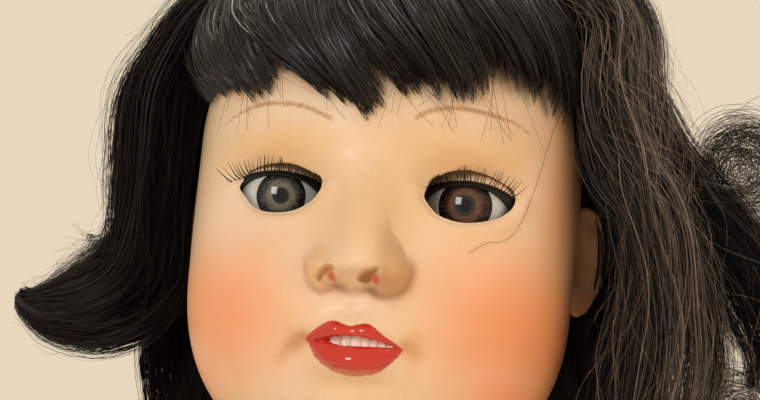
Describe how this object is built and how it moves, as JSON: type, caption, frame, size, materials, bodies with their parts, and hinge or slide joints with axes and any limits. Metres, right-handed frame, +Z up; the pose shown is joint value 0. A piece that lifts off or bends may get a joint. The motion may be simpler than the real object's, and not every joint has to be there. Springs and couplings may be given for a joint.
{
  "type": "bisque doll",
  "caption": "Standing jointed child doll with a bisque socket head, dark wig, weighted sleep eyes, open mouth with teeth and a strung ball-jointed body in cotton combinations.",
  "frame": {"origin": "on the floor between the feet, under the middle of the doll", "axes": "+Z up, the face looks along -Y, +X to the doll's own left"},
  "size_m": [0.2136, 0.1383, 0.5919],
  "materials": {
    "bisque": "satin",
    "composition": "satin",
    "cork": "matte",
    "plaster": "matte",
    "porcelain": "gloss",
    "eye_glass": "polished",
    "lid": "satin",
    "lash": "matte",
    "steel": "satin",
    "lead": "matte",
    "net": "matte",
    "hair": "satin",
    "turned_wood": "matte",
    "elastic": "matte",
    "cotton": "matte"
  },
  "bodies": {
    "torso": {"torso": "composition", "arm_elastic": "elastic", "leg_elastic_left": "elastic", "leg_elastic_right": "elastic", "bodice": "cotton"},
    "neck_hook": {"neck_hook": "steel", "neck_button": "turned_wood"},
    "head": {"head_shell": "bisque", "crown_pate": "cork", "teeth": "porcelain", "eye_saddle_left": "plaster", "eye_saddle_right": "plaster", "wig_cap": "net", "wig_crown": "hair", "wig_fringe": "hair", "wig_lock_left": "hair", "wig_lock_right": "hair", "wig_curl_left": "hair", "wig_back": "hair"},
    "eyes": {"eyeball_left": "eye_glass", "eyeball_right": "eye_glass", "eyelid_left": "lid", "eyelid_right": "lid", "lash_band_left": "lash", "lash_band_right": "lash", "eye_axle": "steel", "eye_weight": "lead"},
    "arm_hook_left": {"arm_hook_left": "steel"},
    "upper_arm_left": {"upper_arm_left": "composition", "elbow_elastic_left": "elastic"},
    "forearm_left": {"forearm_left": "composition", "elbow_pin_left": "steel", "wrist_elastic_left": "elastic"},
    "hand_left": {"hand_left": "composition", "wrist_pin_left": "steel"},
    "hip_hook_left": {"hip_hook_left": "steel"},
    "thigh_left": {"thigh_left": "composition", "knee_elastic_left": "elastic", "leg_cuff_left": "cotton"},
    "lower_leg_left": {"lower_leg_left": "composition", "knee_pin_left": "steel"},
    "arm_hook_right": {"arm_hook_right": "steel"},
    "upper_arm_right": {"upper_arm_right": "composition", "elbow_elastic_right": "elastic"},
    "forearm_right": {"forearm_right": "composition", "elbow_pin_right": "steel", "wrist_elastic_right": "elastic"},
    "hand_right": {"hand_right": "composition", "wrist_pin_right": "steel"},
    "hip_hook_right": {"hip_hook_right": "steel"},
    "thigh_right": {"thigh_right": "composition", "knee_elastic_right": "elastic", "leg_cuff_right": "cotton"},
    "lower_leg_right": {"lower_leg_right": "composition", "knee_pin_right": "steel"}
  },
  "joints": [
    {"name": "head_nod", "type": "hinge", "parent": "torso", "child": "neck_hook", "pos_m": [0, 0, 0.432], "axis": [1, 0, 0], "range_deg": [-12, 12]},
    {"name": "head_turn", "type": "hinge", "parent": "neck_hook", "child": "head", "pos_m": [0, 0, 0.432], "axis": [0, 0, 1], "range_deg": [-70, 70]},
    {"name": "eye_sleep", "type": "hinge", "parent": "head", "child": "eyes", "pos_m": [0, -0.03329, 0.512], "axis": [1, 0, 0], "range_deg": [0, 50]},
    {"name": "shoulder_swing_left", "type": "hinge", "parent": "torso", "child": "arm_hook_left", "pos_m": [0.058, 0, 0.392], "axis": [-1, 0, 0], "range_deg": [-40, 75]},
    {"name": "shoulder_lift_left", "type": "hinge", "parent": "arm_hook_left", "child": "upper_arm_left", "pos_m": [0.058, 0, 0.392], "axis": [0, -1, 0], "range_deg": [0, 45]},
    {"name": "elbow_left", "type": "hinge", "parent": "upper_arm_left", "child": "forearm_left", "pos_m": [0.06501, 0, 0.31432], "axis": [-0.996, 0, -0.0899], "range_deg": [0, 85]},
    {"name": "wrist_turn_left", "type": "hinge", "parent": "forearm_left", "child": "hand_left", "pos_m": [0.07076, 0, 0.25057], "axis": [0.0899, 0, -0.996], "range_deg": [-80, 80]},
    {"name": "hip_swing_left", "type": "hinge", "parent": "torso", "child": "hip_hook_left", "pos_m": [0.03, 0, 0.236], "axis": [-1, 0, 0], "range_deg": [-10, 85]},
    {"name": "hip_spread_left", "type": "hinge", "parent": "hip_hook_left", "child": "thigh_left", "pos_m": [0.03, 0, 0.236], "axis": [0, -1, 0], "range_deg": [0, 20]},
    {"name": "knee_left", "type": "hinge", "parent": "thigh_left", "child": "lower_leg_left", "pos_m": [0.03, 0, 0.128], "axis": [1, 0, 0], "range_deg": [0, 85]},
    {"name": "shoulder_swing_right", "type": "hinge", "parent": "torso", "child": "arm_hook_right", "pos_m": [-0.058, 0, 0.392], "axis": [-1, 0, 0], "range_deg": [-40, 75]},
    {"name": "shoulder_lift_right", "type": "hinge", "parent": "arm_hook_right", "child": "upper_arm_right", "pos_m": [-0.058, 0, 0.392], "axis": [0, 1, 0], "range_deg": [0, 45]},
    {"name": "elbow_right", "type": "hinge", "parent": "upper_arm_right", "child": "forearm_right", "pos_m": [-0.06501, 0, 0.31432], "axis": [-0.996, 0, 0.0899], "range_deg": [0, 85]},
    {"name": "wrist_turn_right", "type": "hinge", "parent": "forearm_right", "child": "hand_right", "pos_m": [-0.07076, 0, 0.25057], "axis": [-0.0899, 0, -0.996], "range_deg": [-80, 80]},
    {"name": "hip_swing_right", "type": "hinge", "parent": "torso", "child": "hip_hook_right", "pos_m": [-0.03, 0, 0.236], "axis": [-1, 0, 0], "range_deg": [-10, 85]},
    {"name": "hip_spread_right", "type": "hinge", "parent": "hip_hook_right", "child": "thigh_right", "pos_m": [-0.03, 0, 0.236], "axis": [0, 1, 0], "range_deg": [0, 20]},
    {"name": "knee_right", "type": "hinge", "parent": "thigh_right", "child": "lower_leg_right", "pos_m": [-0.03, 0, 0.128], "axis": [1, 0, 0], "range_deg": [0, 85]}
  ]
}
